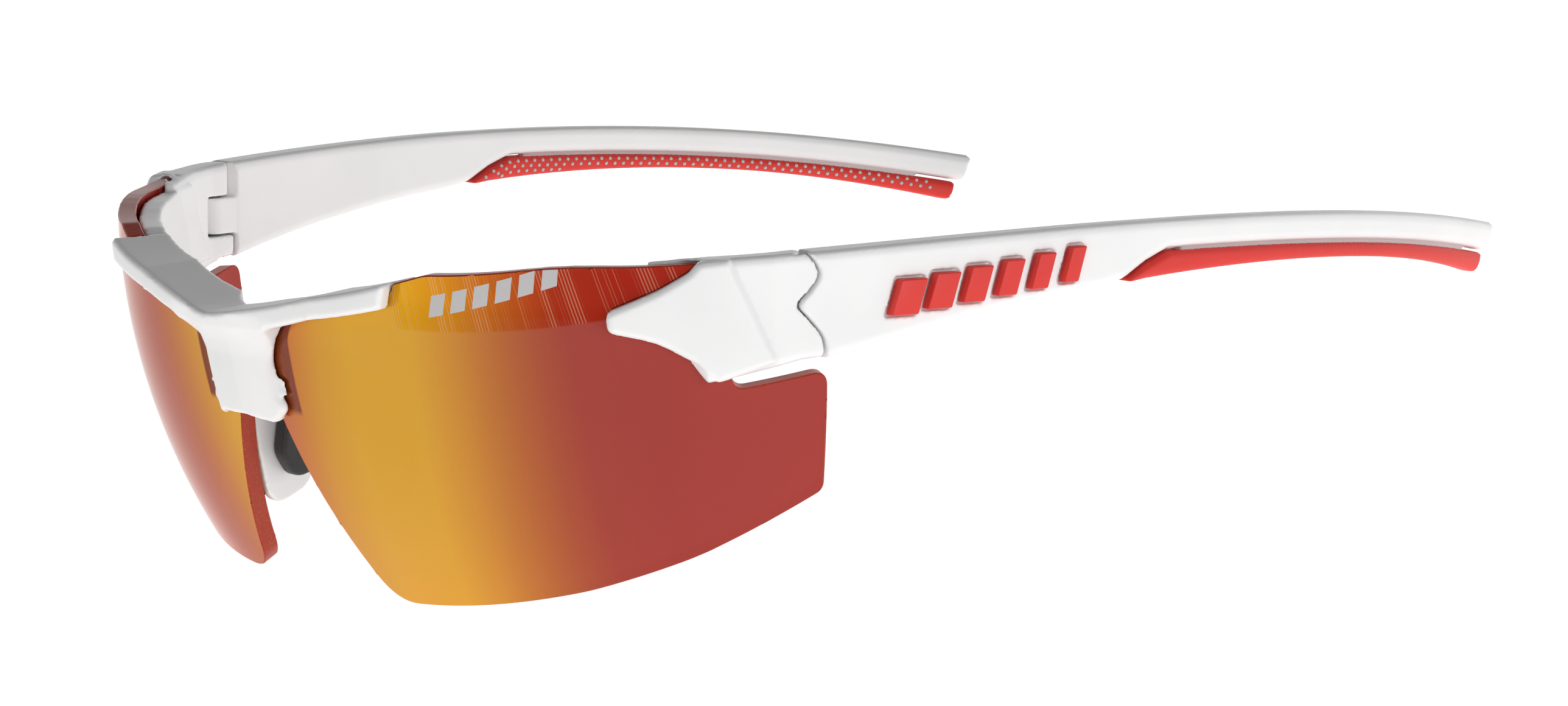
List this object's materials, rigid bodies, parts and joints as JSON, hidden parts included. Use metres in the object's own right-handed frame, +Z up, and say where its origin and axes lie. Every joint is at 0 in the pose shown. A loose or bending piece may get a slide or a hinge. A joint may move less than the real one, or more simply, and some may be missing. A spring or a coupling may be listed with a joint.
{
  "type": "sport sunglasses",
  "caption": "Wraparound half-rim sport sunglasses: white frame, mirrored lenses, soft nose pads and folding temples with rubber ear grips.",
  "frame": {"origin": "on the table under the middle of the bounding box, with the glasses standing on their lens bottoms and ear tips", "axes": "+X towards the wearer's left, +Y from the lenses back to the ear tips, +Z up"},
  "size_m": [0.1456, 0.1568, 0.0432],
  "materials": {
    "white_nylon": "satin moulded nylon",
    "mirror_lens": "polycarbonate with a gold to red mirror coat, polished",
    "red_rubber": "soft matte rubber",
    "red_plastic": "satin",
    "black_rubber": "matte",
    "screw_steel": "turned"
  },
  "bodies": {
    "front": {"front_frame": "white_nylon", "lens_left": "mirror_lens", "lens_right": "mirror_lens", "nose_pad_left": "black_rubber", "nose_pad_right": "black_rubber", "hinge_screw_left": "screw_steel", "hinge_screw_right": "screw_steel"},
    "left_temple": {"temple_left": "white_nylon", "ear_grip_left": "red_rubber", "badge_bar_left_1": "red_plastic", "badge_bar_left_2": "red_plastic", "badge_bar_left_3": "red_plastic", "badge_bar_left_4": "red_plastic", "badge_bar_left_5": "red_plastic", "badge_bar_left_6": "red_plastic"},
    "right_temple": {"temple_right": "white_nylon", "ear_grip_right": "red_rubber", "badge_bar_right_1": "red_plastic", "badge_bar_right_2": "red_plastic", "badge_bar_right_3": "red_plastic", "badge_bar_right_4": "red_plastic", "badge_bar_right_5": "red_plastic", "badge_bar_right_6": "red_plastic"}
  },
  "joints": [
    {"name": "temple_left_fold", "type": "hinge", "parent": "front", "child": "left_temple", "pos_m": [0.06316, -0.0382, 0.0339], "axis": [0, 0.2407, 0.9706], "range_deg": [0, 87.5]},
    {"name": "temple_right_fold", "type": "hinge", "parent": "front", "child": "right_temple", "pos_m": [-0.06316, -0.0382, 0.0339], "axis": [0, -0.2407, -0.9706], "range_deg": [0, 79]}
  ]
}
